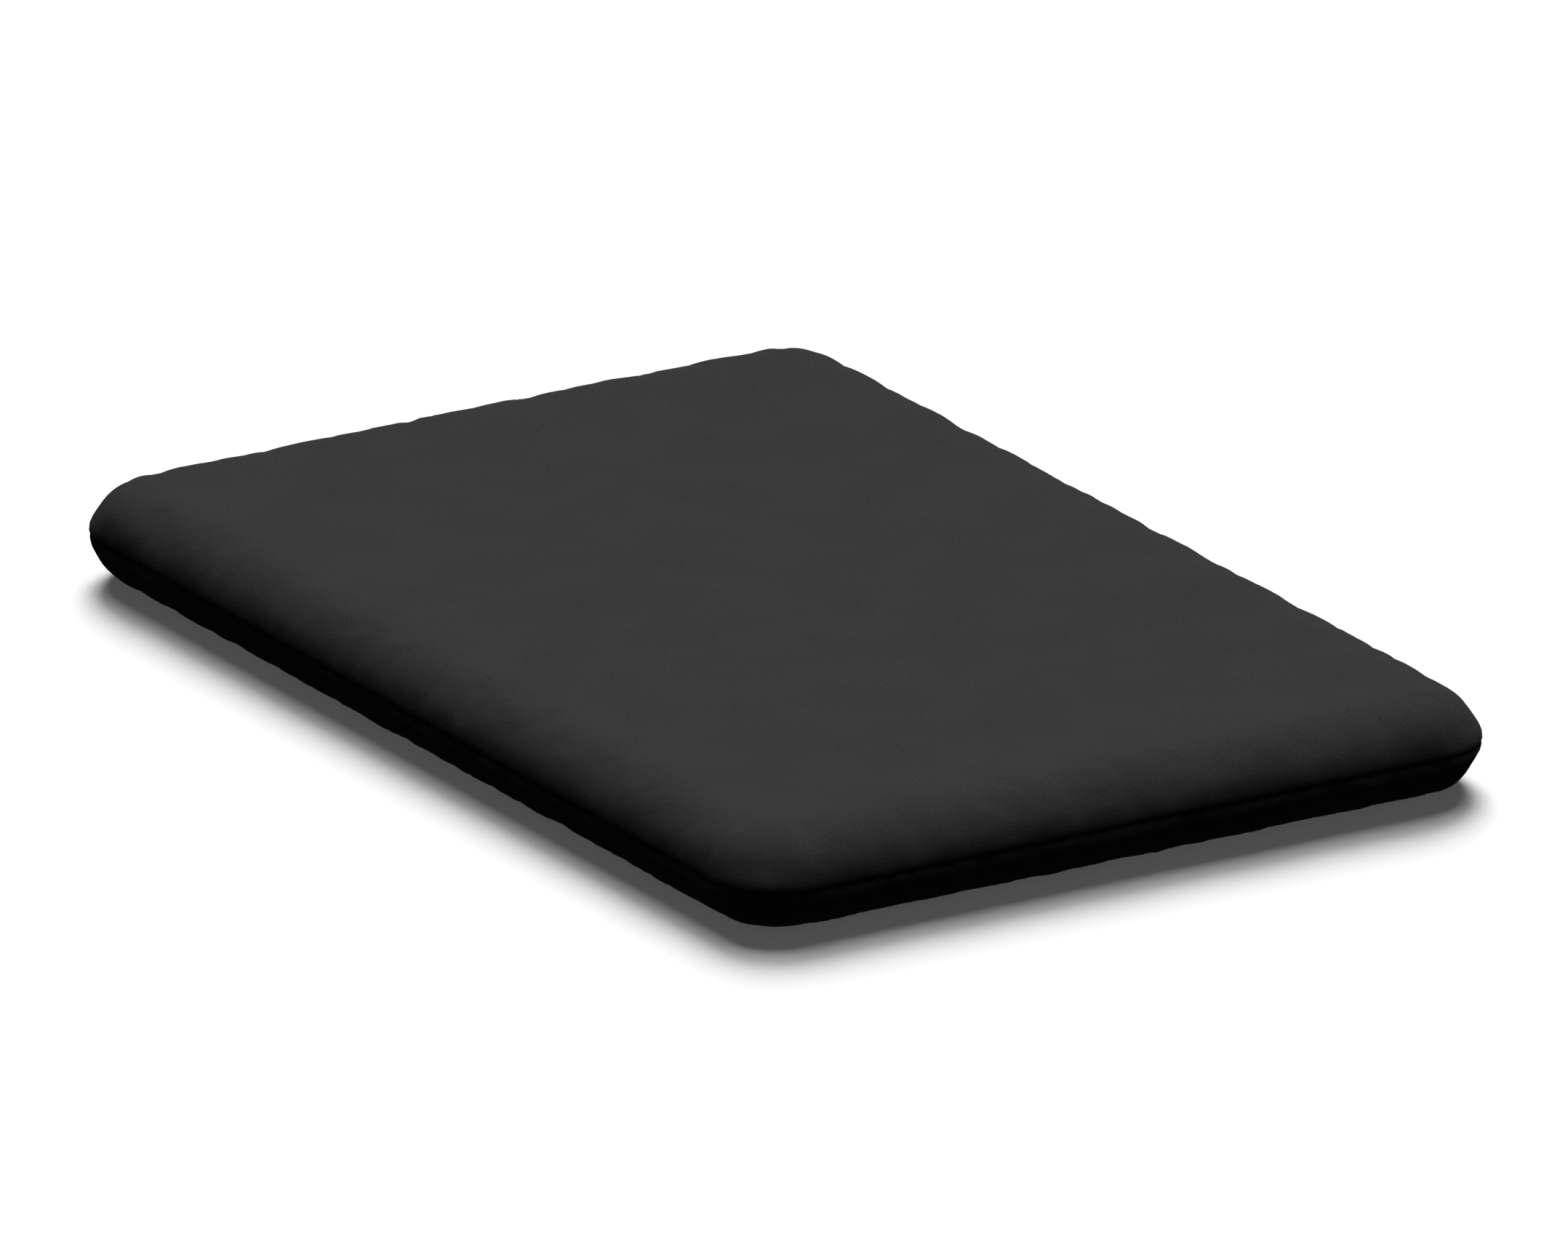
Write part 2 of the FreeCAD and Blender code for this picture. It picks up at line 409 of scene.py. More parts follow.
def edge_hold(x, y, share):
    """How firmly a point is held: 1 at the seam and on the flat, free on the roll between."""
    if share <= 0 or share > RIM_FROM:
        return 1.0
    along_zip = zip_share(x, y) * smooth_share((share - 0.7) / 0.2)
    return max(along_zip, max(0.0, 1 - share / FREE_FROM) ** 2)


def simulate(piece, hold, growth, pressure, cap, sink):
    """Runs Cloth on a piece; a move is limited to `cap`, and to `sink` where it goes inwards."""
    group = piece.vertex_groups.new(name="hold")
    for index, weight in enumerate(hold):
        group.add([index], weight, "REPLACE")
    cloth = piece.modifiers.new("cloth", "CLOTH")
    cloth.settings.quality = 6
    cloth.settings.mass = 0.3
    cloth.settings.vertex_group_mass = "hold"
    cloth.settings.pin_stiffness = 5
    cloth.settings.tension_stiffness = 25
    cloth.settings.compression_stiffness = 25
    cloth.settings.shear_stiffness = 8
    cloth.settings.bending_stiffness = 0.4
    cloth.settings.shrink_min = -growth
    cloth.settings.use_pressure = True
    cloth.settings.uniform_pressure_force = pressure
    cloth.settings.effector_weights.gravity = 0
    cloth.point_cache.frame_end = FRAMES
    rest = numpy.array([vert.co for vert in piece.data.vertices])
    facing = numpy.array([vert.normal for vert in piece.data.vertices])
    for step in range(1, FRAMES + 1):
        bpy.context.scene.frame_set(step)
    settled = piece.evaluated_get(bpy.context.evaluated_depsgraph_get())
    moved = numpy.array([vert.co for vert in settled.data.vertices])
    piece.modifiers.remove(cloth)
    piece.vertex_groups.remove(group)
    bpy.context.scene.frame_set(1)
    move = moved - rest
    length = numpy.linalg.norm(move, axis=1, keepdims=True)
    move *= cap * numpy.tanh(length / cap) / numpy.maximum(length, 1e-9)
    depth = -(move * facing).sum(axis=1, keepdims=True)
    placed = rest + move + facing * numpy.maximum(depth - sink, 0)
    placed[:, 2] = numpy.maximum(placed[:, 2], 0)
    piece.data.vertices.foreach_set("co", placed.ravel())
    piece.data.update()
    print(piece.name, "moved at most", round(float(length.max()), 4))


print("simulation ready")

# %% [markdown]
# ## The seam
# The two panels are sewn right sides together, and the edges are turned inside, so from outside
# each panel rolls in towards the stitching and leaves a narrow groove. The roll is made after
# the simulation. The open rim is extruded round half a turn and then along the inside of the
# cover as the seam allowance. At the four corners the seam is eased in least, and stands out as a
# small blunt ear.

# %% Roll the rim inwards
CLOTH = 1.4 * MM
FOLD_RADIUS = 1.6 * MM
FOLD_STEPS = 6
ALLOWANCE = 7 * MM
STITCH_GAP = 0.1 * MM
LIP = {1: 0.3 * MM, -1: -1.6 * MM}
FLARE = 16 * MM
ZIP_RIDGE = 1.8 * MM
EAR = 7 * MM
EAR_FLARE = 38 * MM


def rim_shift(side):
    """For a panel above (1) or below (-1) the seam: a function that moves its rim out and up."""
    def shift(x, y, to_rim):
        share = zip_share(x, y)
        facing = from_core(x, y).normalized()
        lip = LIP[side] + (ZIP_RIDGE - LIP[side]) * share
        ear = EAR * 2 * abs(facing.x * facing.y) * smooth_share(1 - to_rim / EAR_FLARE)
        gap = FOLD_RADIUS + STITCH_GAP + (slot_half - STITCH_GAP) * share
        return lip * smooth_share(1 - to_rim / FLARE) + ear, side * gap
    return shift


def fold_rim(piece, side):
    """Extrudes the open rim round half a turn and then along the inside of the cover."""
    mesh = bmesh.new()
    mesh.from_mesh(piece.data)
    rim = [edge for edge in mesh.edges if edge.is_boundary]
    angles = [math.pi * step / FOLD_STEPS for step in range(FOLD_STEPS + 1)]
    steps = [((math.cos(after) - math.cos(angle)) * FOLD_RADIUS,
              (math.sin(angle) - math.sin(after)) * FOLD_RADIUS)
             for angle, after in zip(angles, angles[1:])]
    for out, up in steps + [(0, ALLOWANCE)]:
        made = bmesh.ops.extrude_edge_only(mesh, edges=rim)
        rim = only(bmesh.types.BMEdge, made)
        for vert in only(bmesh.types.BMVert, made):
            vert.co.xy += from_core(vert.co.x, vert.co.y).normalized() * out
            vert.co.z += side * up
    bmesh.ops.recalc_face_normals(mesh, faces=mesh.faces)
    if sum(face.normal.z * face.calc_area() for face in mesh.faces) * side < 0:
        bmesh.ops.reverse_faces(mesh, faces=mesh.faces)
    mesh.to_mesh(piece.data)
    mesh.free()
    piece.data.shade_smooth()


print("rim roll of radius", FOLD_RADIUS)

# %% [markdown]
# ## Puckers
# Where the sewing machine's feed takes up a little more of one panel than of the other, the
# seam pulls a short crease up the roll. They come every hand's breadth or so, never evenly, and
# give the edges their slightly scalloped outline. Each pull has its own place, depth, width and
# slant, from one seeded source, and a low wave runs through everything between them. None of it
# may press deeper than the room there is between the cover and the casing.

# %% Creases pulled from the seam
PULL_EVERY = 0.095
PULL_DEPTH = 3.4 * MM
PULL_WIDTH = 17 * MM
WAVE_DEPTH = 1.5 * MM
SHOULDER_ROOM = 0.1 * MM
SIDE_ROOM = 2.2 * MM


def around(share, out):
    """The point a share of the way round the outline that reaches `out` from the core."""
    left = share % 1 * (4 * (core_x + core_y) + math.tau * out)
    corners = [Vector((core_x, -core_y)), Vector((core_x, core_y)),
               Vector((-core_x, core_y)), Vector((-core_x, -core_y))]
    for turn, corner in enumerate(corners):
        angle = math.pi / 2 * turn
        facing = Vector((math.cos(angle), math.sin(angle)))
        run = 2 * (core_x if turn % 2 else core_y)
        if left <= run:
            return corner + facing * out + facing.orthogonal() * left
        left -= run
        arc = math.pi / 2 * out
        if left <= arc or turn == 3:
            angle += left / max(out, MM)
            facing = Vector((math.cos(angle), math.sin(angle)))
            return corners[(turn + 1) % 4] + facing * out
        left -= arc


def seam_pulls(seed):
    """The pulls along the seam, as a tree of places and the depth, width and slant of each."""
    length = 4 * (core_x + core_y) + math.tau * CORNER
    count = round(length / PULL_EVERY)
    random = numpy.random.default_rng(seed)
    shares = (numpy.arange(count) + random.uniform(-0.36, 0.36, count)) / count
    tree = KDTree(count)
    for index, share in enumerate(shares):
        tree.insert((*around(share, CORNER), 0), index)
    tree.balance()
    shapes = zip(random.uniform(0.25, 1.0, count), random.uniform(0.6, 1.5, count),
                 random.uniform(-0.5, 0.5, count))
    return tree, list(shapes)


def pucker(piece, shares, seed):
    """Presses the creases and the low wave into a wrapped panel, along its own normals."""
    tree, shapes = seam_pulls(seed)
    placed = []
    for vert, share in zip(piece.data.vertices, shares):
        away = from_core(vert.co.x, vert.co.y)
        place = vert.co.copy()
        reach = smooth_share((share + 0.1) / 0.3) * (1 - 0.75 * smooth_share((share - 0.8) / 0.2))
        reach *= 1 - zip_share(vert.co.x, vert.co.y) * smooth_share((share - 0.6) / 0.3)
        if reach > 0 and away.length > MM:
            facing = away.normalized()
            outline = vert.co.xy - away + facing * CORNER
            crease = 0.0
            for near, index, _ in tree.find_n((*outline, 0), 2):
                depth, width, slant = shapes[index]
                across = (outline - near.xy).dot(facing.orthogonal())
                across += slant * (1 - share) * PULL_WIDTH * 2
                spread = PULL_WIDTH * width * (1.6 - share)
                crease += depth * math.exp(-(across / spread) ** 2)
            wave = noise.noise(place * 9 + Vector((0, 0, seed))) + 0.4 * noise.noise(place * 26)
            press = PULL_DEPTH * crease - WAVE_DEPTH * (wave + 0.7)
            room = SHOULDER_ROOM + (SIDE_ROOM - SHOULDER_ROOM) * smooth_share(share / 0.75)
            if press > 0:
                press = room * math.tanh(press / room)
            place -= vert.normal * reach * press
            place.z = max(place.z, 0.0)
        placed.extend(place)
    piece.data.vertices.foreach_set("co", placed)
    piece.data.update()
    print(piece.name, len(shapes), "pulls along its seam")


print("pulls every", PULL_EVERY, "m or so")

# %% [markdown]
# ## The cover
# Both panels are made by one function. Each is one piece of cloth from the front edge to the
# zip, not cut at the fold.


def bend(piece, node):
    """Bakes a piece's place into its mesh and hides its node's two halves, which it stands in for."""
    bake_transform(piece)
    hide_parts(node + "_seat", node + "_back")


def declare_panel(piece, half_x, half_y, radius, **more):
    """Says what size a panel with round corners was cut to, before it was stretched on."""
    flat = (2 * half_x, 2 * half_y)
    area = flat[0] * flat[1] - (4 - math.pi) * radius ** 2
    print(piece.name, "is cut", round(flat[0], 3), "by", round(flat[1], 3))


def cover_panel(name, reach, used, flat_z, side, growth, seed):
    """A whole cover panel: cut, wrapped, eased by simulation and rolled in at its rim."""
    radius = CORNER - reach + used
    half_x = core_x + radius
    half_y = core_y + radius
    mesh = cut_panel(half_x, half_y, radius, columns=190, rows=130)
    shares = [roll_share(vert.co.x, vert.co.y, reach, used) for vert in mesh.verts]
    hold = [edge_hold(vert.co.x, vert.co.y, share) for vert, share in zip(mesh.verts, shares)]
    wrap_panel(mesh, reach, 0.0, flat_z, seam_z, rim_shift(side))
    if side < 0:
        bmesh.ops.reverse_faces(mesh, faces=mesh.faces)
    piece = as_piece(mesh, name, canvas_finish)
    simulate(piece, hold, growth, pressure=1.2, cap=3 * MM, sink=0.3 * MM)
    pucker(piece, shares, seed)
    fold_rim(piece, side)
    thicken(piece, CLOTH)
    bend(piece, name + "_panel")
    declare_panel(piece, half_x, half_y, radius)
    return piece


cover_top = cover_panel("cover_top", TOP_ROLL, top_used, top_z, 1, growth=0.006, seed=5)
cover_bottom = cover_panel("cover_bottom", BOTTOM_ROLL, bottom_used, 0.0, -1, growth=0.008, seed=8)

# %% [markdown]
# ## Shapes inside the cover
# Everything inside follows the same rolled edge, only a little further in. So one function says
# how far that edge reaches at any height, and another puts a point of a square grid on it. The
# room between the cover and each layer is read from the design.

# %% The rolled edge, further in
def edge_out(z, inset, drop):
    """How far the rolled edge reaches from a corner's axis at a height, for a layer further in."""
    high = z >= seam_z
    reach = TOP_ROLL if high else BOTTOM_ROLL
    flat = top_z - drop if high else drop
    level = max(0.0, min(1.0, (z - seam_z) / (flat - seam_z)))
    return CORNER - reach + (reach - inset) * math.sqrt(1 - level * level)


def on_edge(u, v, z, inset, drop):
    """Puts a point of a grid from -1 to 1 each way into the layer's outline at a height."""
    out = edge_out(z, inset, drop)
    x = crowd(u) * (core_x + out)
    y = crowd(v) * (core_y + out)
    return Vector((*round_corner(x, y, core_x + out, core_y + out, out), z))


casing_inset = half_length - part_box("casing_boxing_seat")[1].x
casing_drop = top_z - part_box("casing_top_panel_seat")[1].z
filling_inset = half_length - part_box("cotton_core_seat")[1].x
filling_drop = top_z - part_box("top_outer_felt_seat")[1].z
print("casing", round(casing_inset, 4), round(casing_drop, 4), "filling", round(filling_inset, 4))

# %% [markdown]
# ## Tufts
# Thirty tufts hold the filling together. Each is a twine drawn through everything inside the
# cover and knotted over a small felt pad on both sides, so both faces of the casing dip there.
# The rows and columns are read from the design's twines. The dip is flat under the pad and rises
# smoothly to the face round it, with a few soft creases that run out from the pad.

# %% Where the tufts are, and how the cloth dips there
TUFT_COLUMNS = 6
TUFT_ROWS = {"seat": 2, "back": 3}
KNOT = 2.5 * MM
DIP_RADIUS = 36 * MM
DIP_DEPTH = 10 * MM
CREASES = 7
CREASE_DEPTH = 0.5 * MM


def tuft_lines(half):
    """The X of each column and the Y of each row of tufts in one half."""
    low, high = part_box("tuft_twines_" + half)
    columns = numpy.linspace(low.x + KNOT, high.x - KNOT, TUFT_COLUMNS)
    rows = numpy.linspace(low.y + KNOT, high.y - KNOT, TUFT_ROWS[half])
    return columns, rows


tuft_places = {}
for half in TUFT_ROWS:
    columns, rows = tuft_lines(half)
    tuft_places[half] = [Vector((x, y)) for y in rows for x in columns]
tuft_columns = tuft_lines("seat")[0]
tuft_rows = numpy.concatenate([tuft_lines(half)[1] for half in TUFT_ROWS])
pad_low, pad_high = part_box("tuft_pads_top_seat")
pad_radius = (pad_high.x - pad_low.x - (tuft_columns[-1] - tuft_columns[0])) / 2


def tuft_dip(x, y):
    """How far the nearest tuft pulls the cloth in at a point."""
    dx = x - tuft_columns[abs(tuft_columns - x).argmin()]
    dy = y - tuft_rows[abs(tuft_rows - y).argmin()]
    away = math.hypot(dx, dy)
    if away > 2 * DIP_RADIUS:
        return 0.0
    dip = DIP_DEPTH * smooth_share((DIP_RADIUS - away) / (DIP_RADIUS - pad_radius))
    ring = smooth_share((away - pad_radius) / pad_radius) * smooth_share(2 - away / DIP_RADIUS)
    crease = 0.5 + 0.5 * math.sin(CREASES * math.atan2(dy, dx) + 40 * (x + y))
    return dip + CREASE_DEPTH * ring * crease


print(sum(map(len, tuft_places.values())), "tufts, pads of radius", round(pad_radius, 4))

# %% [markdown]
# ## Filling
# From below to above: two layers of cotton felt, a foam sheet, a thick cotton core, a foam sheet
# and two layers of felt again. Each starts as a grid, is extruded upwards into a slab, and its
# points are put on the rolled edge at their own height. Felt and cotton are torn rather than
# cut, so noise pulls their edges in unevenly. Foam is cut clean.

# %% Finishes of the filling
def felt(dark, light, fleck):
    """Matted cotton fibre: cloudy colour from dark to light, with small round flecks."""
    def build(wire):
        clouds = through(wire, NOISE, Scale=60.0, Detail=4.0)
        fibres = through(wire, NOISE, Scale=700.0, Detail=3.0, Distortion=2.5)
        flecks = through(wire, CELLS, Scale=90.0).below(0.16)
        tone = clouds * 0.5 + fibres * 0.5
        color = flecks.mix(tone.mix(dark, light), fleck)
        return {"Base Color": color, "Normal": bump(wire, fibres * 0.6 + clouds * 0.4, 1.2 * MM)}
    return build


def foam_pores(wire):
    """Yellowed foam: open pores of about two millimetres, in wide paler and darker patches."""
    pores = through(wire, CELLS, Scale=550.0)
    patches = through(wire, NOISE, Scale=9.0, Detail=3.0)
    tone = pores * 0.7 + patches * 0.5
    return {
        "Base Color": tone.mix((0.42, 0.34, 0.16, 1), (0.72, 0.63, 0.38, 1)),
        "Normal": bump(wire, pores, 0.8 * MM),
    }


recycled = felt(dark=(0.20, 0.19, 0.18, 1), light=(0.42, 0.40, 0.37, 1), fleck=(0.10, 0.12, 0.2, 1))
felt_finish = finish("cotton_felt", recycled)
raw_cotton = felt(dark=(0.52, 0.49, 0.42, 1), light=(0.78, 0.75, 0.68, 1), fleck=(0.40, 0.34, 0.24, 1))
core_finish = finish("cotton_core", raw_cotton)
foam_finish = finish("foam", foam_pores, rough=0.95)
print("filling finishes ready")

# %% Layers of the filling
FINE = (150, 100)
COARSE = (70, 48)
SIDE_CUTS = 3
TORN = 2.2 * MM
SAWN = 0.3 * MM


def filling_layer(node, grid, material, ragged, dips=0):
    """One layer of the filling; dips is 1 if the tufts dent its top, and -1 its underside."""
    low, high = [corner.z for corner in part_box(node + "_seat")]
    mesh = bmesh.new()
    bmesh.ops.create_grid(mesh, x_segments=grid[0], y_segments=grid[1], size=1)
    made = bmesh.ops.extrude_face_region(mesh, geom=mesh.faces[:], use_keep_orig=True)
    bmesh.ops.translate(mesh, verts=only(bmesh.types.BMVert, made), vec=(0, 0, 1))
    upright = [edge for edge in mesh.edges if edge.calc_length() > 0.5]
    bmesh.ops.subdivide_edges(mesh, edges=upright, cuts=SIDE_CUTS, use_grid_fill=True)
    for vert in mesh.verts:
        u, v, level = vert.co
        place = on_edge(u, v, low + (high - low) * level, filling_inset, filling_drop)
        if max(abs(u), abs(v)) > 0.999:
            torn = 0.5 + 0.5 * noise.noise(place * 45) + 0.3 * noise.noise(place * 160)
            place.xy -= from_core(*place.xy).normalized() * ragged * max(0.0, torn)
        if dips and level == max(0, dips):
            place.z -= dips * tuft_dip(*place.xy)
        vert.co = place
    bmesh.ops.recalc_face_normals(mesh, faces=mesh.faces)
    piece = as_piece(mesh, node, material)
    if not dips:
        smooth = piece.modifiers.new("smooth", "SUBSURF")
        smooth.levels = 1
        smooth.render_levels = 1
    bend(piece, node)
    print(node, "from", round(low, 4), "to", round(high, 4), len(piece.data.polygons), "faces")


filling_layer("bottom_outer_felt", FINE, felt_finish, TORN, dips=-1)
filling_layer("bottom_inner_felt", COARSE, felt_finish, TORN)
filling_layer("bottom_foam", COARSE, foam_finish, SAWN)
filling_layer("cotton_core", COARSE, core_finish, TORN)
filling_layer("top_foam", COARSE, foam_finish, SAWN)
filling_layer("top_inner_felt", COARSE, felt_finish, TORN)
filling_layer("top_outer_felt", FINE, felt_finish, TORN, dips=1)

# %% [markdown]
# ## Inner casing
# The casing is unbleached cotton twill: a panel above, a panel below and a boxing strip round
# the sides between them. The panels are cut and wrapped like the cover's, and stop where the
# boxing starts. Both are dented by the tufts. The twill's fine diagonal ribs and its narrow
# woven stripes follow the flat cloth.

# %% Casing twill
TWILL = 1.6 * MM
STRIPE_PITCH = 38 * MM


def twill(wire):
    """Unbleached twill: diagonal ribs, and a narrow blue stripe at every pitch."""
    uv, u, v = cloth_axes(wire)
    ribs = ((u + v) / TWILL).wave()
    stripes = (v / STRIPE_PITCH).wave().above(0.93)
    slubs = stretched_noise(wire, uv, 1.2 * MM, 25 * MM)
    tone = ribs * 0.35 + slubs * 0.65
    plain = tone.mix((0.50, 0.44, 0.34, 1), (0.74, 0.68, 0.57, 1))
    return {
        "Base Color": (stripes * 0.6).mix(plain, (0.16, 0.19, 0.26, 1)),
        "Normal": bump(wire, ribs * 0.7 + slubs * 0.3, 0.25 * MM),
    }


twill_finish = finish("casing_twill", twill, rough=0.88)
print("twill ribs", TWILL, "m apart")

# %% Casing panels and boxing
CASING_CLOTH = 1.0 * MM
BOXING_SIDES = 420
BOXING_STEPS = 8


def sew_casing(mesh, node):
    """Makes a shaped piece of casing an object, gives it its thickness, and hides the two halves it
    stands in for.
    """
    piece = as_piece(mesh, node, twill_finish)
    thicken(piece, CASING_CLOTH)
    bend(piece, node)
    return piece


def face_out(mesh):
    """Turns a strip that stands at the mattress's side so that its face looks outwards."""
    mesh.normal_update()
    outward = sum(face.normal.xy.dot(from_core(*face.calc_center_median().xy)) for face in mesh.faces)
    if outward < 0:
        bmesh.ops.reverse_faces(mesh, faces=mesh.faces)


def casing_panel(node, reach, side):
    """A casing panel above (1) or below (-1): wrapped as far as the boxing, dented by the tufts."""
    low, high = [corner.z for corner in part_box(node + "_seat")]
    flat_z, end_z = (high, low) if side > 0 else (low, high)
    used, out, down = quarter_roll(reach - casing_inset, abs(flat_z - seam_z))
    radius = CORNER - reach + numpy.interp(abs(flat_z - end_z), down, used)
    half_x = core_x + radius
    half_y = core_y + radius
    mesh = cut_panel(half_x, half_y, radius, *FINE)
    wrap_panel(mesh, reach, casing_inset, flat_z, seam_z)
    for vert in mesh.verts:
        vert.co.z -= side * tuft_dip(vert.co.x, vert.co.y)
    if side < 0:
        bmesh.ops.reverse_faces(mesh, faces=mesh.faces)
    piece = sew_casing(mesh, node)
    declare_panel(piece, half_x, half_y, radius,
                  rests_on=["top_outer_felt" if side > 0 else "bottom_outer_felt"])


def boxing_strip(node):
    """The strip round the sides of the casing, from the lower panel to the upper one."""
    low, high = [corner.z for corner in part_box(node + "_seat")]
    mesh = bmesh.new()
    bmesh.ops.create_circle(mesh, segments=BOXING_SIDES, radius=1)
    share = {}
    rim = mesh.edges[:]
    flat = mesh.loops.layers.uv.new("cloth")
    for _ in range(BOXING_STEPS):
        made = bmesh.ops.extrude_edge_only(mesh, edges=rim)
        rim = only(bmesh.types.BMEdge, made)
        bmesh.ops.translate(mesh, verts=only(bmesh.types.BMVert, made), vec=(0, 0, 1))
    for vert in mesh.verts:
        turn = math.atan2(vert.co.y, vert.co.x) / math.tau
        z = low + (high - low) * round(vert.co.z) / BOXING_STEPS
        share[vert] = (turn % 1, z)
        vert.co = (*around(turn, edge_out(z, casing_inset, casing_drop)), z)
    length = 4 * (core_x + core_y) + math.tau * edge_out(seam_z, casing_inset, casing_drop)
    for face in mesh.faces:
        turns = [share[loop.vert][0] for loop in face.loops]
        for loop, turn in zip(face.loops, turns):
            wrapped = turn + 1 if max(turns) - turn > 0.5 else turn
            loop[flat].uv = (wrapped * length, share[loop.vert][1])
    bmesh.ops.recalc_face_normals(mesh, faces=mesh.faces)
    face_out(mesh)
    piece = sew_casing(mesh, node)


casing_panel("casing_top_panel", TOP_ROLL, 1)
casing_panel("casing_bottom_panel", BOTTOM_ROLL, -1)
boxing_strip("casing_boxing")

# %% [markdown]
# ## Tuft pads and twines
# Each pad is a small felt disc, a little dished where the knot pulls. Each twine is two strands
# laid round each other: a small circle, spun about the twine's axis while it climbs, makes one
# strand. The knot is the same thing wound flat, three times round. One tuft is made first, and
# copied to every place.

# %% Pads and twines
PAD_SIDES = 20
STRAND = 0.62 * MM
LAY = 9 * MM
STRAND_SIDES = 5
STRAND_STEPS = 6
KNOT_TURNS = 3
KNOT_STRAND = 0.8 * MM
KNOT_CLIMB = 1.3 * KNOT_STRAND
KNOT_HEIGHT = 4.6 * KNOT_STRAND
PAD_EDGE = 0.7 * MM
PAD_DISH = 0.8 * MM
PAD_UNEVEN = 0.25 * MM


def twine_strands(wire):
    """Waxed cotton: fine fibres, pale to brown."""
    fibres = through(wire, NOISE, Scale=1400.0, Detail=2.0)
    return {
        "Base Color": fibres.mix((0.45, 0.38, 0.26, 1), (0.80, 0.74, 0.60, 1)),
        "Normal": bump(wire, fibres, 0.2 * MM),
    }


twine_finish = finish("waxed_twine", twine_strands, rough=0.6)
pale_felt = felt(dark=(0.62, 0.58, 0.50, 1), light=(0.86, 0.82, 0.74, 1), fleck=(0.5, 0.45, 0.36, 1))
pad_finish = finish("pad_felt", pale_felt)


def copy_by(mesh, geom, move):
    """Copies part of a bmesh and moves the copy."""
    made = bmesh.ops.duplicate(mesh, geom=geom)
    bmesh.ops.translate(mesh, verts=only(bmesh.types.BMVert, made), vec=move)


def copy_to(mesh, places):
    """Copies everything in a bmesh, made on the Z axis, to each place, and removes the first."""
    first = mesh.verts[:] + mesh.edges[:] + mesh.faces[:]
    for place in places:
        copy_by(mesh, first, (place.x, place.y, 0))
    bmesh.ops.delete(mesh, geom=first, context="VERTS")


def round_edges(mesh, edges, offset, segments=2):
    """Bevels those of the edges that are still there."""
    bmesh.ops.bevel(mesh, geom=[edge for edge in edges if edge.is_valid], offset=offset,
                    offset_type="OFFSET", segments=segments, profile=0.5, affect="EDGES", material=-1)


def fix_to(piece, body, node):
    """Fixes a piece to one body in place of its design node."""
    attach(piece, body)
    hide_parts(node)


def tuft_pads(node, places, side):
    """Felt discs on one face: side is 1 for the upper face and -1 for the lower one."""
    low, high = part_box(node)
    mesh = bmesh.new()
    bmesh.ops.create_cone(mesh, cap_ends=True, segments=PAD_SIDES, radius1=pad_radius,
                          radius2=pad_radius * 0.95, depth=high.z - low.z)
    top = max(mesh.faces, key=lambda face: face.calc_center_median().z)
    rims = [edge for edge in mesh.edges if abs(edge.verts[0].co.z - edge.verts[1].co.z) < 0.1 * MM]
    bmesh.ops.inset_region(mesh, faces=[top], thickness=pad_radius * 0.45, depth=0)
    bmesh.ops.inset_region(mesh, faces=[top], thickness=pad_radius * 0.30, depth=-PAD_DISH)
    round_edges(mesh, rims, PAD_EDGE)
    bmesh.ops.scale(mesh, verts=mesh.verts, vec=(1, 1, side))
    bmesh.ops.translate(mesh, verts=mesh.verts, vec=(0, 0, (low.z + high.z) / 2))
    copy_to(mesh, places)
    for vert in mesh.verts:
        vert.co.z += PAD_UNEVEN * noise.noise(vert.co * 160)
    bmesh.ops.recalc_face_normals(mesh, faces=mesh.faces)
    return as_piece(mesh, node + "_felt", pad_finish)


def turned(mesh, verts, angle, axis, centre=(0, 0, 0)):
    """Turns vertices by an angle round an axis through the centre."""
    bmesh.ops.rotate(mesh, verts=verts, cent=centre, matrix=Matrix.Rotation(angle, 3, axis))


def strand(mesh, radius, out, start, turns, climb, angle):
    """One strand spun round the Z axis: a circle at distance `out` that climbs as it turns."""
    steps = round(turns * STRAND_STEPS)
    circle = bmesh.ops.create_circle(mesh, segments=STRAND_SIDES, radius=radius)["verts"]
    edges = list({edge for vert in circle for edge in vert.link_edges})
    if abs(climb) < 3 * radius:
        turned(mesh, circle, math.pi / 2, "X")
    bmesh.ops.translate(mesh, verts=circle, vec=(out, 0, start))
    turned(mesh, circle, angle, "Z")
    bmesh.ops.spin(mesh, geom=circle + edges, cent=(0, 0, 0), axis=(0, 0, 1),
                   angle=math.tau * turns, steps=steps, dvec=(0, 0, climb * turns / steps))


def close_ends(mesh):
    """Fills every open end of the tubes in a mesh, and turns all faces outwards."""
    rims = [edge for edge in mesh.edges if edge.is_boundary]
    bmesh.ops.holes_fill(mesh, edges=rims, sides=8)
    bmesh.ops.recalc_face_normals(mesh, faces=mesh.faces)


def tuft_twines(node, places):
    """A twisted twine with a knot at both ends, at each place."""
    low, high = [corner.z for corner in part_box(node)]
    mesh = bmesh.new()
    turns = (high - low - 2 * KNOT) / LAY
    for angle in (0, math.pi):
        strand(mesh, STRAND, STRAND, low + KNOT, turns, LAY, angle)
    for start in (low + KNOT_STRAND, high - KNOT_HEIGHT):
        strand(mesh, KNOT_STRAND, KNOT - KNOT_STRAND, start, KNOT_TURNS, KNOT_CLIMB, 0)
    close_ends(mesh)
    copy_to(mesh, places)
    return as_piece(mesh, node + "_laid", twine_finish)


for half, places in tuft_places.items():
    for face, side in (("top", 1), ("bottom", -1)):
        node = "tuft_pads_" + face + "_" + half
        pads = tuft_pads(node, places, side)
        fix_to(pads, half, node)
    node = "tuft_twines_" + half
    twines = tuft_twines(node, places)
    fix_to(twines, half, node)
    print(half, "tufts:", len(places), "with", len(twines.data.polygons), "faces of twine")

# %% [markdown]
# ## Zip tapes and coils
# The zip runs nearly the whole length of the rear. A woven tape lies behind each edge of the
# opening, and a nylon coil is sewn along the tape. A coil is one long spring: a small circle,
# spun round the coil's axis while it moves along it, makes one turn, and doubling what is there
# ten times makes the other thousand.

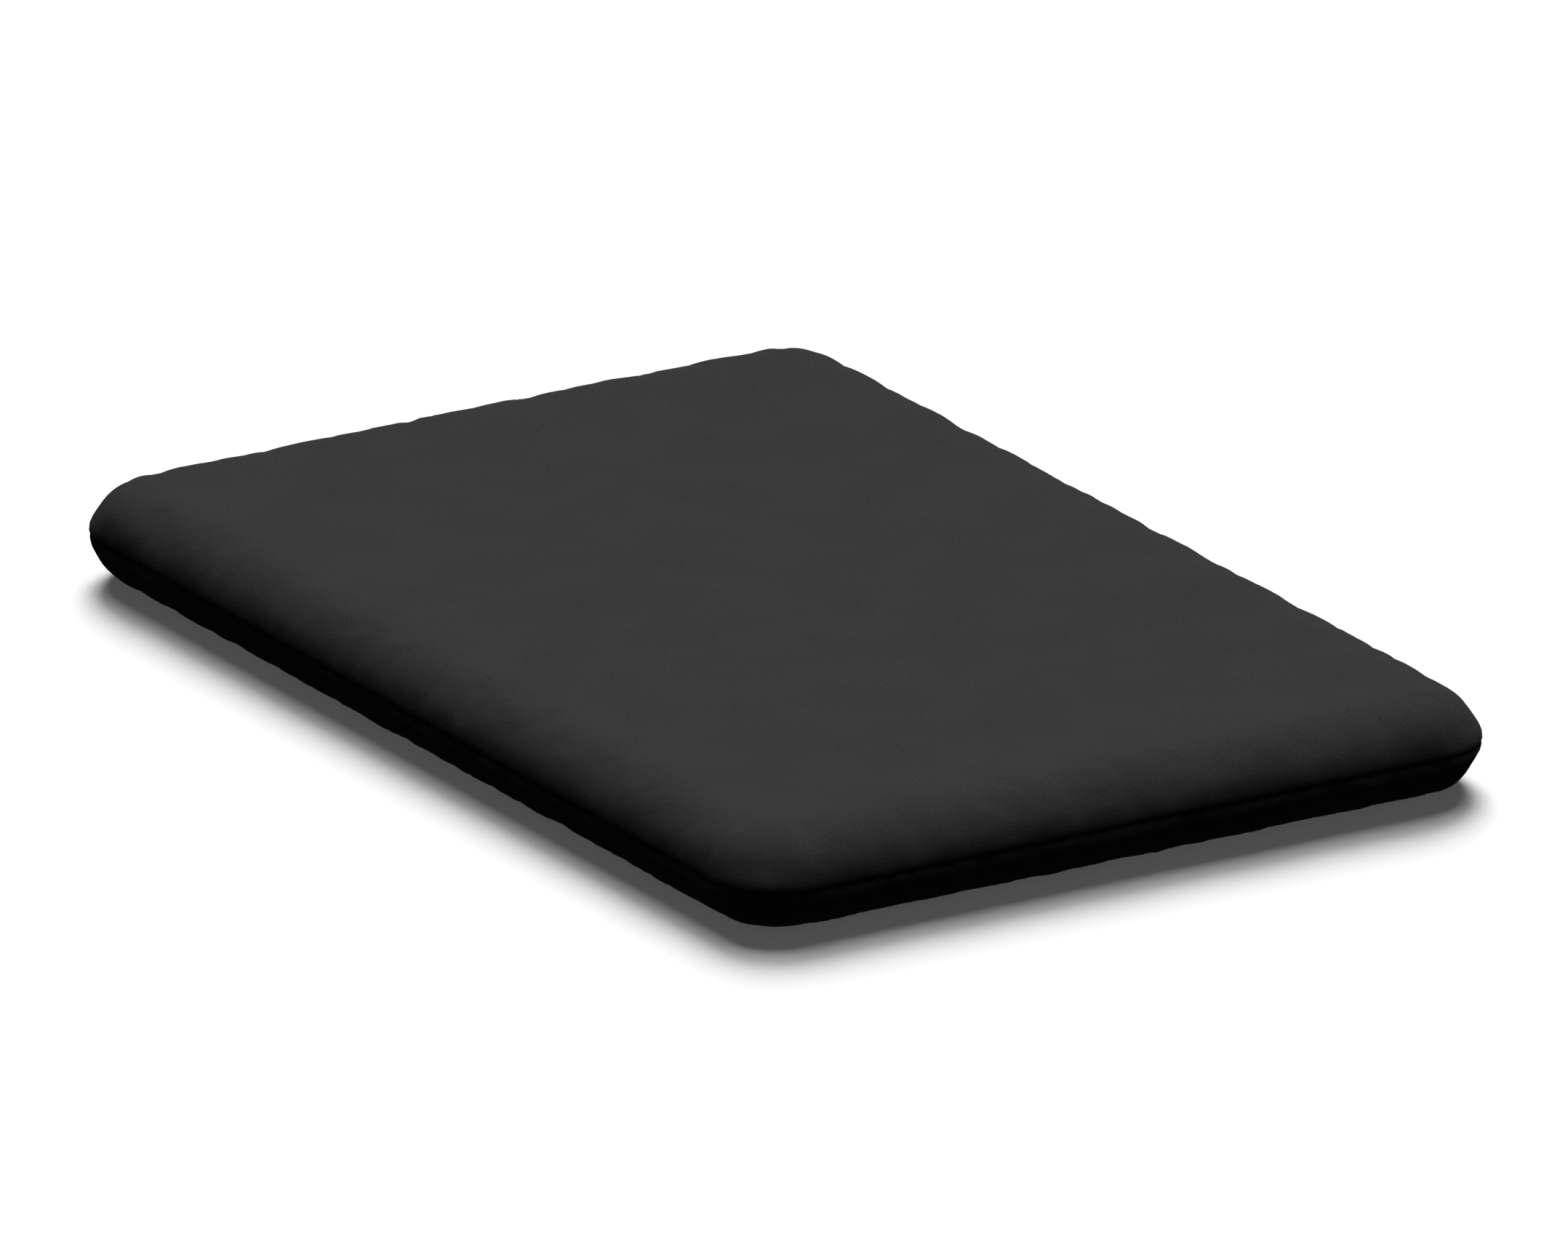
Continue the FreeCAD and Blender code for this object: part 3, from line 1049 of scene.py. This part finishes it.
# %% Tapes and coils
TAPE_CLOTH = 0.8 * MM
TAPE_TAIL = 16 * MM
TAPE_STEP = 15 * MM
COIL_DOUBLINGS = 10
COIL_STEPS = 8
COIL_WIRE = 0.34 * MM
COIL_REACH = 0.25 * MM


def tape_weave(wire):
    """Herringbone: ribs that lean one way and then the other, across the tape."""
    _, u, v = cloth_axes(wire)
    lean = (v / (2 * MM)).pingpong(1.0)
    ribs = (u / (0.8 * MM) + lean * 2).wave()
    return {
        "Base Color": ribs.mix((0.012, 0.012, 0.013, 1), (0.035, 0.035, 0.037, 1)),
        "Normal": bump(wire, ribs, 0.15 * MM),
    }


def nylon(wire):
    """Black nylon, a little uneven in colour and gloss."""
    mottled = through(wire, NOISE, Scale=400.0, Detail=2.0)
    return {
        "Base Color": mottled.mix((0.016, 0.016, 0.017, 1), (0.032, 0.032, 0.034, 1)),
        "Roughness": mottled * 0.2 + 0.28,
    }


tape_finish = finish("zip_tape_weave", tape_weave, rough=0.85)
nylon_finish = finish("zip_nylon", nylon)


def zip_tape(node):
    """A tape behind one edge of the opening, following the curve of the rear side."""
    low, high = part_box(node)
    length = high.x - low.x + 2 * TAPE_TAIL
    mesh = bmesh.new()
    bmesh.ops.create_grid(mesh, x_segments=round(length / TAPE_STEP), y_segments=5, size=1)
    for vert in mesh.verts:
        vert.co.x *= length / 2
        vert.co.y = low.z + (high.z - low.z) * (vert.co.y + 1) / 2
    keep_flat(mesh)
    inset = half_width - high.y
    for vert in mesh.verts:
        z = vert.co.y
        vert.co.y = core_y + edge_out(z, inset, inset)
        vert.co.z = z
    face_out(mesh)
    piece = as_piece(mesh, node + "_woven", tape_finish)
    thicken(piece, TAPE_CLOTH)
    fix_to(piece, "back", node)


def zip_coil(node, side, phase):
    """The nylon coil on one tape: side is 1 above the seam and -1 below it."""
    low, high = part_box(node)
    heads = (low.z if side > 0 else high.z) - side * COIL_REACH
    root = high.z if side > 0 else low.z
    half_height = abs(root - heads) / 2 - COIL_WIRE
    half_depth = (high.y - low.y) / 2 - COIL_WIRE
    pitch = (high.x - low.x - 4 * COIL_WIRE) / 2 ** COIL_DOUBLINGS
    mesh = bmesh.new()
    circle = bmesh.ops.create_circle(mesh, segments=STRAND_SIDES, radius=COIL_WIRE)["verts"]
    bmesh.ops.translate(mesh, verts=circle, vec=(0, half_height, 0))
    turned(mesh, circle, math.pi / 2, "X")
    turned(mesh, circle, math.pi / 2, "Z", centre=(0, 0, half_height))
    bmesh.ops.spin(mesh, geom=circle + mesh.edges[:], cent=(0, 0, 0), axis=(1, 0, 0),
                   angle=math.tau, steps=COIL_STEPS, dvec=(pitch / COIL_STEPS, 0, 0))
    for doubling in range(COIL_DOUBLINGS):
        copy_by(mesh, mesh.verts[:] + mesh.edges[:] + mesh.faces[:], (pitch * 2 ** doubling, 0, 0))
    bmesh.ops.remove_doubles(mesh, verts=mesh.verts, dist=0.01 * MM)
    bmesh.ops.scale(mesh, verts=mesh.verts, vec=(1, half_depth / half_height, 1))
    bmesh.ops.translate(mesh, verts=mesh.verts, vec=(low.x + (1 + phase) * COIL_WIRE,
                                                     (low.y + high.y) / 2, (heads + root) / 2))
    close_ends(mesh)
    piece = as_piece(mesh, node + "_nylon", nylon_finish)
    fix_to(piece, "back", node)
    print(node, 2 ** COIL_DOUBLINGS, "turns,", len(piece.data.polygons), "faces")


zip_tape("zip_tape_upper")
zip_tape("zip_tape_lower")
zip_coil("zip_coil_upper", 1, 0)
zip_coil("zip_coil_lower", -1, 2)

# %% [markdown]
# ## Stops, slider and pull
# These are small castings, enamelled black. Hard edges would look cut from card, so every block
# is bevelled. The slider is two plates joined by a neck, with side flanges round the coils and a
# bridge on top, which is a strip spun through half a turn. The pull's bar runs under the bridge,
# so the pull swings on it.

# %% Slider and pull
EDGE = 0.3 * MM


def enamel(wire):
    """Black enamel, worn through to bare metal in small spots."""
    wear = through(wire, NOISE, Scale=900.0, Detail=4.0)
    bare = wear.above(0.68)
    return {
        "Base Color": bare.mix((0.014, 0.014, 0.015, 1), (0.30, 0.29, 0.27, 1)),
        "Roughness": wear * 0.3 + 0.22,
        "Metallic": bare * 0.9,
    }


enamel_finish = finish("black_enamel", enamel, coat=0.4)


def block(mesh, low, high, edge=EDGE, taper=1.0):
    """A bevelled block between two corners; taper narrows its height at the low X end."""
    made = bmesh.ops.create_cube(mesh, size=1)["verts"]
    for vert in made:
        narrow = taper if vert.co.x < 0 else 1.0
        share = Vector((vert.co.x, vert.co.y, vert.co.z * narrow))
        vert.co = [(a + b) / 2 + (b - a) * c for a, b, c in zip(low, high, share)]
    round_edges(mesh, list({edge for vert in made for edge in vert.link_edges}), edge)


def casting(mesh, name, node, body):
    """A finished casting: faces outwards, enamelled, with its sharp edges marked."""
    bmesh.ops.recalc_face_normals(mesh, faces=mesh.faces)
    piece = as_piece(mesh, name, enamel_finish)
    piece.data.set_sharp_from_angle(angle=math.radians(50))
    fix_to(piece, body, node)
    print(name, len(piece.data.polygons), "faces")


def band(far, wall, side):
    """The heights between which a wall lies that ends at `far` above the seam, or as far below."""
    outer = seam_z + side * (far - seam_z)
    inner = seam_z + side * (far - seam_z - wall)
    return sorted((outer, inner))


SLIDER_PLATE = 1.2 * MM
SLIDER_FLANGE = 0.8 * MM
SLIDER_CLEARANCE = 0.5 * MM
NECK_LENGTH = 5 * MM
NECK_WALL = 0.6 * MM
BRIDGE_OUT = 3.5 * MM
BRIDGE_WALL = 0.9 * MM
BRIDGE_HALF = 1.1 * MM
SLIDER_TAPER = 0.86
pull_low, pull_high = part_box("zip_pull")
pivot_y = (pull_low.y + pull_high.y) / 2
coil_low, coil_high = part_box("zip_coil_upper")
plate_in = coil_high.y + SLIDER_CLEARANCE
plate_out = plate_in + SLIDER_PLATE
slider_x = (slider_low.x + slider_high.x) / 2

mesh = bmesh.new()
block(mesh, (slider_low.x, plate_in, slider_low.z), (slider_high.x, plate_out, slider_high.z),
      taper=SLIDER_TAPER)
inner_low = slider_low.y
block(mesh, (slider_low.x, inner_low, slider_low.z),
      (slider_high.x, inner_low + SLIDER_PLATE, slider_high.z), taper=SLIDER_TAPER)
for side in (1, -1):
    under, over = band(slider_high.z, SLIDER_FLANGE, side)
    block(mesh, (slider_low.x + EDGE, coil_low.y + SLIDER_CLEARANCE, under),
          (slider_high.x, plate_in + EDGE, over), edge=0.2 * MM)
block(mesh, (slider_high.x - NECK_LENGTH, inner_low + SLIDER_PLATE / 2, seam_z - NECK_WALL / 2),
      (slider_high.x - EDGE, plate_in + EDGE, seam_z + NECK_WALL / 2), edge=0.1 * MM)
strip = bmesh.ops.create_circle(mesh, cap_ends=True, segments=8, radius=1)["verts"]
for vert in strip:
    vert.co = (slider_x + BRIDGE_OUT - BRIDGE_WALL / 2 * (1 + vert.co.x), plate_out,
               seam_z + BRIDGE_HALF * vert.co.y)
strip_faces = list({face for vert in strip for face in vert.link_faces})
strip_edges = list({edge for vert in strip for edge in vert.link_edges})
before = set(mesh.verts)
bmesh.ops.spin(mesh, geom=strip + strip_edges + strip_faces, cent=(slider_x, plate_out, seam_z),
               axis=(0, 0, 1), angle=math.pi, steps=14)
rise = (slider_high.y - plate_out) / BRIDGE_OUT
for vert in set(mesh.verts) - before:
    vert.co.y = plate_out + (vert.co.y - plate_out) * rise
casting(mesh, "zip_slider_cast", "zip_slider", "zip_slider")

# %% Pull tab
PULL_WALL = 1.2 * MM
PULL_ARM = 1.6 * MM
PULL_BAR = 0.7 * MM
WINDOW = BRIDGE_OUT + 2 * PULL_BAR
TAB_CORNER = 2.6 * MM
TAB_RIM = 1.1 * MM
TAB_RECESS = 0.25 * MM

mesh = bmesh.new()
tab_end = slider_x - WINDOW
bmesh.ops.create_cube(mesh, size=1)
for vert in mesh.verts:
    vert.co = (tab_end + (pull_low.x - tab_end) * (0.5 - vert.co.x),
               pivot_y + PULL_WALL * vert.co.y, seam_z + (pull_high.z - pull_low.z) * vert.co.z)
corners = [edge for edge in mesh.edges if edge.verts[0].co.x < tab_end - MM
           and abs((edge.verts[0].co - edge.verts[1].co).y) > PULL_WALL / 2]
round_edges(mesh, corners, TAB_CORNER, segments=6)
mesh.normal_update()
faces = [face for face in mesh.faces if abs(face.normal.y) > 0.9]
outline = [edge for face in faces for edge in face.edges]
for face in faces:
    bmesh.ops.inset_region(mesh, faces=[face], thickness=TAB_RIM, depth=0)
    bmesh.ops.inset_region(mesh, faces=[face], thickness=TAB_RECESS, depth=-TAB_RECESS)
round_edges(mesh, outline, EDGE * 0.8)
for side in (1, -1):
    under, over = band(pull_high.z, PULL_ARM, side)
    block(mesh, (tab_end - EDGE, pivot_y - PULL_WALL / 2, under),
          (slider_x, pivot_y + PULL_WALL / 2, over), edge=0.25 * MM)
bar = bmesh.ops.create_cone(mesh, cap_ends=True, segments=14, radius1=PULL_BAR, radius2=PULL_BAR,
                            depth=pull_high.z - pull_low.z - 0.02 * MM)["verts"]
bmesh.ops.translate(mesh, verts=bar, vec=(slider_x, pivot_y, seam_z))
casting(mesh, "zip_pull_tab", "zip_pull", "zip_pull")

# %% Stops
STOP_LENGTH = 3 * MM
STOP_SHORT = 0.05 * MM

mesh = bmesh.new()
for side in (1, -1):
    under, over = band(coil_high.z, coil_high.z - coil_low.z, side)
    block(mesh, (zip_high.x - STOP_LENGTH + STOP_SHORT, zip_low.y, under),
          (zip_high.x, zip_high.y, over))
block(mesh, zip_low, (zip_low.x + STOP_LENGTH, zip_high.y, zip_high.z), edge=0.5 * MM)
casting(mesh, "zip_stops_crimped", "zip_stops", "back")

# %% [markdown]
# ## Topstitching beside the zip
# The cover's folded edges are stitched down to the tapes. Each stitch is a small bead of thread
# half sunk in the cloth. A ray cast from behind finds the cloth at each stitch, so the row
# follows it exactly.

# %% Topstitching
STITCH = 3.0 * MM
STITCH_PITCH = 4.0 * MM
THREAD = 0.35 * MM
STITCH_IN = 3.2 * MM
RAY_START = 0.05


def thread_shine(wire):
    """Dark thread with fine twisted strands."""
    strands = through(wire, NOISE, Scale=2500.0, Detail=1.0)
    return {"Base Color": strands.mix((0.02, 0.02, 0.021, 1), (0.06, 0.06, 0.062, 1)),
            "Normal": bump(wire, strands, 0.1 * MM)}


thread_finish = finish("cover_thread", thread_shine, rough=0.5)


def topstitch(name, cover, side):
    """A row of stitches beside the zip, on one panel of the cover."""
    graph = bpy.context.evaluated_depsgraph_get()
    surface = BVHTree.FromObject(cover.evaluated_get(graph), graph)
    height = seam_z + side * (slot_half + STITCH_IN)
    count = int((zip_high.x - zip_low.x) / STITCH_PITCH)
    mesh = bmesh.new()
    for index in range(count):
        behind = Vector((zip_low.x + (index + 0.5) * STITCH_PITCH, half_width + RAY_START, height))
        hit = surface.ray_cast(behind, Vector((0, -1, 0)))[0]
        bead = bmesh.ops.create_icosphere(mesh, subdivisions=1, radius=1)["verts"]
        bmesh.ops.scale(mesh, verts=bead, vec=(STITCH / 2, THREAD, THREAD))
        bmesh.ops.translate(mesh, verts=bead, vec=hit)
    piece = as_piece(mesh, name, thread_finish)
    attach(piece, "back")
    print(name, count, "stitches,", len(piece.data.polygons), "faces")


topstitch("zip_topstitch_upper", cover_top, 1)
topstitch("zip_topstitch_lower", cover_bottom, -1)

# %% [markdown]
# ## Care label
# A blank satin label lies on the casing behind the zip. It carries no text. It is a small grid
# laid on the curve of the casing's side, with a narrow hem at both ends and a faint curl.

# %% Care label
LABEL_CLOTH = 0.3 * MM
LABEL_GAP = 0.2 * MM
HEM = 3 * MM
HEM_LIFT = 0.25 * MM
CURL = 0.15 * MM


def satin(wire):
    """White satin with fine ribs, slightly soiled."""
    uv, _, v = cloth_axes(wire)
    ribs = (v / (0.5 * MM)).wave()
    soil = stretched_noise(wire, uv, 6 * MM, 20 * MM)
    tone = ribs * 0.3 + soil * 0.7
    return {
        "Base Color": tone.mix((0.70, 0.69, 0.66, 1), (0.86, 0.86, 0.84, 1)),
        "Normal": bump(wire, ribs, 0.05 * MM),
    }


satin_finish = finish("label_satin", satin, rough=0.42)
label_low, label_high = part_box("care_label")
mesh = bmesh.new()
bmesh.ops.create_grid(mesh, x_segments=30, y_segments=16, size=0.5)
for vert in mesh.verts:
    vert.co.x = label_low.x + (label_high.x - label_low.x) * (vert.co.x + 0.5)
    vert.co.y = label_low.z + (label_high.z - label_low.z) * (vert.co.y + 0.5)
keep_flat(mesh)
label_inset = casing_inset - LABEL_GAP - LABEL_CLOTH
for vert in mesh.verts:
    z = vert.co.y
    edge = min(vert.co.x - label_low.x, label_high.x - vert.co.x)
    lift = HEM_LIFT * smooth_share(1 - edge / HEM) + CURL * noise.noise(vert.co * 60)
    vert.co.y = core_y + edge_out(z, label_inset, label_inset) + abs(lift)
    vert.co.z = z
face_out(mesh)
label = as_piece(mesh, "care_label_blank", satin_finish)
thicken(label, LABEL_CLOTH)
fix_to(label, "back", "care_label")
print("label", len(label.data.polygons), "faces")

# %% [markdown]
# ## Stage, light and camera
# The floor is plain and white, and it glows faintly: a painted light that keeps the shadow on it
# from going darker than a mid grey. The room light is one large soft source overhead. Two more soft
# lights, from behind and lower, are linked to the floor alone: a wide one and a narrow one
# together draw a broad shadow in front of the mattress that is dark at its foot and fades evenly.

# %% Stage, light and camera
FLOOR_WHITE = 0.9
FLOOR_GAP = 0.5 * MM
FLOOR_HALF = 60
SHADOW_GREY = 0.065
ROOM_GLOW = 0.015
mesh = bmesh.new()
bmesh.ops.create_grid(mesh, x_segments=1, y_segments=1, size=FLOOR_HALF)
bmesh.ops.translate(mesh, verts=mesh.verts, vec=(0, 0, -FLOOR_GAP))
floor_look = finish("studio_floor", lambda wire: {}, rough=1.0)
shader = floor_look.node_tree.nodes["Principled BSDF"]
shader.inputs["Base Color"].default_value = (FLOOR_WHITE, FLOOR_WHITE, FLOOR_WHITE, 1)
shader.inputs["Specular IOR Level"].default_value = 0
# The floor glows faintly, a painted light: where the shadow lights miss it, it stays at this grey.
shader.inputs["Emission Color"].default_value = (1, 1, 1, 1)
shader.inputs["Emission Strength"].default_value = SHADOW_GREY
floor = as_piece(mesh, "floor", floor_look)
floor.visible_diffuse = False
floor.visible_glossy = False

AZIMUTH = math.radians(58.43)
ELEVATION = math.radians(19.51)
DISTANCE = 71.4
FOCAL = 1066
AIM_RIGHT = 4.3 * MM
AIM_UP = 4.6 * MM
back = Vector((math.sin(AZIMUTH) * math.cos(ELEVATION), -math.cos(AZIMUTH) * math.cos(ELEVATION),
               math.sin(ELEVATION)))
right = Vector((math.cos(AZIMUTH), math.sin(AZIMUTH), 0))
aim = Vector((0, 0, top_z / 2)) + right * AIM_RIGHT + back.cross(right) * AIM_UP


def add(name, data):
    """Puts a camera or a light in the scene, aimed by a quaternion."""
    thing = bpy.data.objects.new(name, data)
    thing.rotation_mode = "QUATERNION"
    bpy.context.scene.collection.objects.link(thing)
    return thing


camera = add("camera", bpy.data.cameras.new("camera"))
camera.data.lens = FOCAL
camera.data.sensor_width = 36
camera.data.clip_start = 1
camera.data.clip_end = 400
camera.location = aim + back * DISTANCE
camera.rotation_quaternion = (-back).to_track_quat("-Z", "Y")
bpy.context.scene.camera = camera


def sun_light(name, strength, spread, tilt, turn, lights_floor):
    """A soft distant light, tilted from overhead towards the far side; turn swings it sideways."""
    data = bpy.data.lights.new(name, "SUN")
    data.energy = strength
    data.angle = math.radians(spread)
    light = add(name, data)
    lean = math.radians(tilt)
    heading = AZIMUTH + math.radians(turn)
    toward = Vector((-math.sin(heading) * math.sin(lean), math.cos(heading) * math.sin(lean),
                     math.cos(lean)))
    light.rotation_quaternion = toward.to_track_quat("Z", "Y")
    lit = bpy.data.collections.new(name + "_lights")
    lit.objects.link(floor)
    light.light_linking.receiver_collection = lit
    lit.collection_objects[0].light_linking.link_state = "INCLUDE" if lights_floor else "EXCLUDE"


sun_light("overhead", 2.92, 48, 17, turn=-24, lights_floor=False)
sun_light("shadow_high", 2.5, 44, 46, turn=0, lights_floor=True)
sun_light("shadow_low", 3.1, 24, 56, turn=0, lights_floor=True)

world = bpy.data.worlds.new("studio")
world.use_nodes = True
world.node_tree.nodes["Background"].inputs["Color"].default_value = (1, 1, 1, 1)
world.node_tree.nodes["Background"].inputs["Strength"].default_value = ROOM_GLOW
bpy.context.scene.world = world
bpy.context.scene.view_settings.view_transform = "Standard"
